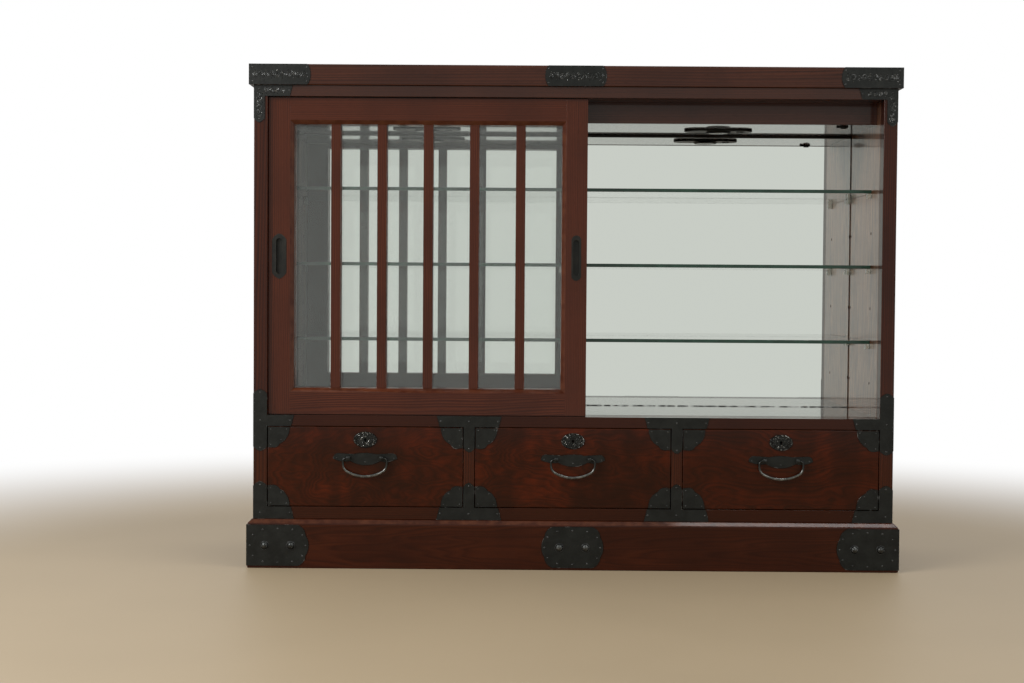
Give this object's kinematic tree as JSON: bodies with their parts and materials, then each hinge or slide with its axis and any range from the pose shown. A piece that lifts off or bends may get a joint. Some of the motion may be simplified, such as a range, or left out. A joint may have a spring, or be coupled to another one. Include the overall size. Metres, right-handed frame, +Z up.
{
  "type": "display cabinet",
  "caption": "Low lacquered display cabinet with sliding barred glass doors, mirror-backed bays with glass shelves, drawers below with bail handles, and iron corner fittings.",
  "frame": {"origin": "on the floor, under the centre of the cabinet's bounding box", "axes": "+X to the right as seen from the front, +Y to the back, +Z up; the front faces -Y"},
  "size_m": [1.5, 0.417, 1.156],
  "materials": {
    "lacquered_wood": "gloss lacquer over dark red-brown grain",
    "pale_wood": "plain planed drawer wood",
    "plain_wood": "thin brown stain",
    "black_iron": "satin black iron",
    "dark_brass": "darkened",
    "clear_glass": "clear",
    "mirror": "silvered",
    "clear_plastic": "clear moulded",
    "black_plastic": "gloss black"
  },
  "bodies": {
    "case": {"back_panel": "plain_wood", "bottom_rail": "lacquered_wood", "case_bottom": "plain_wood", "centre_partition": "lacquered_wood", "display_ceiling": "lacquered_wood", "display_floor": "lacquered_wood", "door_head": "lacquered_wood", "door_sill": "lacquered_wood", "drawer_dividers": "lacquered_wood", "drawer_stops": "plain_wood", "frame_irons": "black_iron", "front_posts": "lacquered_wood", "glass_shelves": "clear_glass", "lamp_heads": "black_plastic", "lamp_housings": "black_plastic", "left_side_panel": "lacquered_wood", "light_fascia": "lacquered_wood", "mirror_beads": "lacquered_wood", "mirrors": "mirror", "plinth_back": "plain_wood", "plinth_front": "lacquered_wood", "plinth_irons": "black_iron", "plinth_sides": "lacquered_wood", "plinth_studs": "black_iron", "right_side_panel": "lacquered_wood", "shelf_pegs": "clear_plastic", "top_board": "lacquered_wood", "top_board_irons": "black_iron"},
    "front_door": {"front_door_bars": "lacquered_wood", "front_door_bottom_rail": "lacquered_wood", "front_door_glass": "clear_glass", "front_door_pulls": "dark_brass", "front_door_stiles": "lacquered_wood", "front_door_top_rail": "lacquered_wood"},
    "rear_door": {"rear_door_bars": "lacquered_wood", "rear_door_bottom_rail": "lacquered_wood", "rear_door_glass": "clear_glass", "rear_door_pulls": "dark_brass", "rear_door_stiles": "lacquered_wood", "rear_door_top_rail": "lacquered_wood"},
    "left_drawer": {"left_drawer_back": "pale_wood", "left_drawer_bottom": "pale_wood", "left_drawer_front": "lacquered_wood", "left_drawer_irons": "black_iron", "left_drawer_sides": "pale_wood"},
    "left_drawer_bail": {"left_drawer_bail": "black_iron"},
    "middle_drawer": {"middle_drawer_back": "pale_wood", "middle_drawer_bottom": "pale_wood", "middle_drawer_front": "lacquered_wood", "middle_drawer_irons": "black_iron", "middle_drawer_sides": "pale_wood"},
    "middle_drawer_bail": {"middle_drawer_bail": "black_iron"},
    "right_drawer": {"right_drawer_back": "pale_wood", "right_drawer_bottom": "pale_wood", "right_drawer_front": "lacquered_wood", "right_drawer_irons": "black_iron", "right_drawer_sides": "pale_wood"},
    "right_drawer_bail": {"right_drawer_bail": "black_iron"},
    "left_lamp_button": {"left_lamp_button": "black_plastic"},
    "right_lamp_button": {"right_lamp_button": "black_plastic"}
  },
  "joints": [
    {"name": "front_door_slide", "type": "slide", "parent": "case", "child": "front_door", "axis": [1, 0, 0], "range_m": [0, 0.6745]},
    {"name": "rear_door_slide", "type": "slide", "parent": "case", "child": "rear_door", "axis": [1, 0, 0], "range_m": [0, 0.6745]},
    {"name": "left_drawer_slide", "type": "slide", "parent": "case", "child": "left_drawer", "axis": [0, -1, 0], "range_m": [0, 0.3]},
    {"name": "left_drawer_bail_swing", "type": "hinge", "parent": "left_drawer", "child": "left_drawer_bail", "pos_m": [-0.478, -0.198, 0.255], "axis": [-1, 0, 0], "range_deg": [-8, 175]},
    {"name": "middle_drawer_slide", "type": "slide", "parent": "case", "child": "middle_drawer", "axis": [0, -1, 0], "range_m": [0, 0.3]},
    {"name": "middle_drawer_bail_swing", "type": "hinge", "parent": "middle_drawer", "child": "middle_drawer_bail", "pos_m": [0, -0.198, 0.255], "axis": [-1, 0, 0], "range_deg": [-8, 175]},
    {"name": "right_drawer_slide", "type": "slide", "parent": "case", "child": "right_drawer", "axis": [0, -1, 0], "range_m": [0, 0.3]},
    {"name": "right_drawer_bail_swing", "type": "hinge", "parent": "right_drawer", "child": "right_drawer_bail", "pos_m": [0.478, -0.198, 0.255], "axis": [-1, 0, 0], "range_deg": [-8, 175]},
    {"name": "left_lamp_button_press", "type": "slide", "parent": "case", "child": "left_lamp_button", "axis": [0, 0, 1], "range_m": [0, 0.002], "stiffness_N_per_m": 300},
    {"name": "right_lamp_button_press", "type": "slide", "parent": "case", "child": "right_lamp_button", "axis": [0, 0, 1], "range_m": [0, 0.002], "stiffness_N_per_m": 300}
  ]
}
